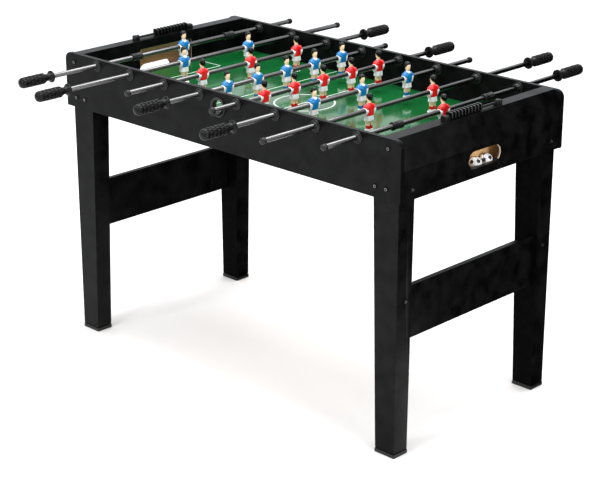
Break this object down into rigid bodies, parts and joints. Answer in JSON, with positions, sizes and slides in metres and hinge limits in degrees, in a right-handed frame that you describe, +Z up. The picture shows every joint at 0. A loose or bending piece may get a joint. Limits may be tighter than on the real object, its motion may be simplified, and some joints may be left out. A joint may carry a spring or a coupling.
{
  "type": "foosball table",
  "caption": "Free-standing table football game with sliding and turning rods of player figures, sloping ends with ball returns, scorers and tapered legs.",
  "frame": {"origin": "on the floor under the middle of the table", "axes": "+X along the table to its right end as seen from the front, +Y across the table from the front side to the back side, +Z up"},
  "size_m": [1.2132, 1.236, 0.8405],
  "materials": {
    "black_laminate": "satin black foil on fibreboard",
    "bare_board": "bare fibreboard",
    "green_field": "printed green, glossy",
    "black_plastic": "matte black",
    "grip_plastic": "matte black",
    "bead_plastic": "gloss black",
    "black_screw": "black oxide",
    "chrome_tube": "polished",
    "blue_team": "gloss moulded figure",
    "red_team": "gloss moulded figure",
    "ball_white": "gloss"
  },
  "bodies": {
    "cabinet": {"side_panel_front": "black_laminate", "side_panel_back": "black_laminate", "end_board_left": "black_laminate", "end_board_right": "black_laminate", "apron_left": "black_laminate", "apron_right": "black_laminate", "goal_wall_left": "black_laminate", "goal_wall_right": "black_laminate", "leg_back_left": "black_laminate", "leg_back_right": "black_laminate", "leg_front_left": "black_laminate", "leg_front_right": "black_laminate", "stretcher_left": "black_laminate", "stretcher_right": "black_laminate", "playfield": "green_field", "ball_trays": "bare_board", "fasteners": "black_screw", "foot_caps": "black_plastic", "rod_bushings": "black_plastic", "ball_entry_cup": "black_plastic", "scorer_frame_left": "black_plastic", "scorer_frame_right": "black_plastic"},
    "rod_1_tube": {"rod_1": "chrome_tube"},
    "rod_1_team": {"players_1": "blue_team", "handle_1": "grip_plastic", "end_cap_1": "grip_plastic", "stop_collars_1": "grip_plastic"},
    "rod_2_tube": {"rod_2": "chrome_tube"},
    "rod_2_team": {"players_2": "blue_team", "handle_2": "grip_plastic", "end_cap_2": "grip_plastic"},
    "rod_3_tube": {"rod_3": "chrome_tube"},
    "rod_3_team": {"players_3": "red_team", "handle_3": "grip_plastic", "end_cap_3": "grip_plastic"},
    "rod_4_tube": {"rod_4": "chrome_tube"},
    "rod_4_team": {"players_4": "blue_team", "handle_4": "grip_plastic", "end_cap_4": "grip_plastic"},
    "rod_5_tube": {"rod_5": "chrome_tube"},
    "rod_5_team": {"players_5": "red_team", "handle_5": "grip_plastic", "end_cap_5": "grip_plastic"},
    "rod_6_tube": {"rod_6": "chrome_tube"},
    "rod_6_team": {"players_6": "blue_team", "handle_6": "grip_plastic", "end_cap_6": "grip_plastic"},
    "rod_7_tube": {"rod_7": "chrome_tube"},
    "rod_7_team": {"players_7": "red_team", "handle_7": "grip_plastic", "end_cap_7": "grip_plastic"},
    "rod_8_tube": {"rod_8": "chrome_tube"},
    "rod_8_team": {"players_8": "red_team", "handle_8": "grip_plastic", "end_cap_8": "grip_plastic", "stop_collars_8": "grip_plastic"},
    "scorer_beads_left": {"scorer_beads_left": "bead_plastic"},
    "scorer_beads_right": {"scorer_beads_right": "bead_plastic"},
    "ball_1": {"ball_1": "ball_white"},
    "ball_2": {"ball_2": "ball_white"}
  },
  "joints": [
    {"name": "rod_1_slide", "type": "slide", "parent": "cabinet", "child": "rod_1_tube", "axis": [0, 1, 0], "range_m": [-0.0935, 0.0935]},
    {"name": "rod_1_spin", "type": "hinge", "parent": "rod_1_tube", "child": "rod_1_team", "pos_m": [-0.4704, 0, 0.793], "axis": [0, 1, 0], "continuous": true},
    {"name": "rod_2_slide", "type": "slide", "parent": "cabinet", "child": "rod_2_tube", "axis": [0, 1, 0], "range_m": [-0.145, 0.145]},
    {"name": "rod_2_spin", "type": "hinge", "parent": "rod_2_tube", "child": "rod_2_team", "pos_m": [-0.336, 0, 0.793], "axis": [0, 1, 0], "continuous": true},
    {"name": "rod_3_slide", "type": "slide", "parent": "cabinet", "child": "rod_3_tube", "axis": [0, 1, 0], "range_m": [-0.089, 0.089]},
    {"name": "rod_3_spin", "type": "hinge", "parent": "rod_3_tube", "child": "rod_3_team", "pos_m": [-0.2016, 0, 0.793], "axis": [0, 1, 0], "continuous": true},
    {"name": "rod_4_slide", "type": "slide", "parent": "cabinet", "child": "rod_4_tube", "axis": [0, 1, 0], "range_m": [-0.051, 0.051]},
    {"name": "rod_4_spin", "type": "hinge", "parent": "rod_4_tube", "child": "rod_4_team", "pos_m": [-0.0672, 0, 0.793], "axis": [0, 1, 0], "continuous": true},
    {"name": "rod_5_slide", "type": "slide", "parent": "cabinet", "child": "rod_5_tube", "axis": [0, 1, 0], "range_m": [-0.051, 0.051]},
    {"name": "rod_5_spin", "type": "hinge", "parent": "rod_5_tube", "child": "rod_5_team", "pos_m": [0.0672, 0, 0.793], "axis": [0, 1, 0], "continuous": true},
    {"name": "rod_6_slide", "type": "slide", "parent": "cabinet", "child": "rod_6_tube", "axis": [0, 1, 0], "range_m": [-0.089, 0.089]},
    {"name": "rod_6_spin", "type": "hinge", "parent": "rod_6_tube", "child": "rod_6_team", "pos_m": [0.2016, 0, 0.793], "axis": [0, 1, 0], "continuous": true},
    {"name": "rod_7_slide", "type": "slide", "parent": "cabinet", "child": "rod_7_tube", "axis": [0, 1, 0], "range_m": [-0.145, 0.145]},
    {"name": "rod_7_spin", "type": "hinge", "parent": "rod_7_tube", "child": "rod_7_team", "pos_m": [0.336, 0, 0.793], "axis": [0, 1, 0], "continuous": true},
    {"name": "rod_8_slide", "type": "slide", "parent": "cabinet", "child": "rod_8_tube", "axis": [0, 1, 0], "range_m": [-0.0935, 0.0935]},
    {"name": "rod_8_spin", "type": "hinge", "parent": "rod_8_tube", "child": "rod_8_team", "pos_m": [0.4704, 0, 0.793], "axis": [0, 1, 0], "continuous": true},
    {"name": "scorer_beads_left_slide", "type": "slide", "parent": "cabinet", "child": "scorer_beads_left", "axis": [0, 1, 0], "range_m": [-0.0595, 0.0015]},
    {"name": "scorer_beads_right_slide", "type": "slide", "parent": "cabinet", "child": "scorer_beads_right", "axis": [0, 1, 0], "range_m": [-0.0015, 0.0595]},
    {"name": "ball_1_roll", "type": "slide", "parent": "cabinet", "child": "ball_1", "axis": [0, 1, 0], "range_m": [-0.126, 0.0035]},
    {"name": "ball_2_roll", "type": "slide", "parent": "cabinet", "child": "ball_2", "axis": [0, 1, 0], "range_m": [-0.0035, 0.083]}
  ]
}
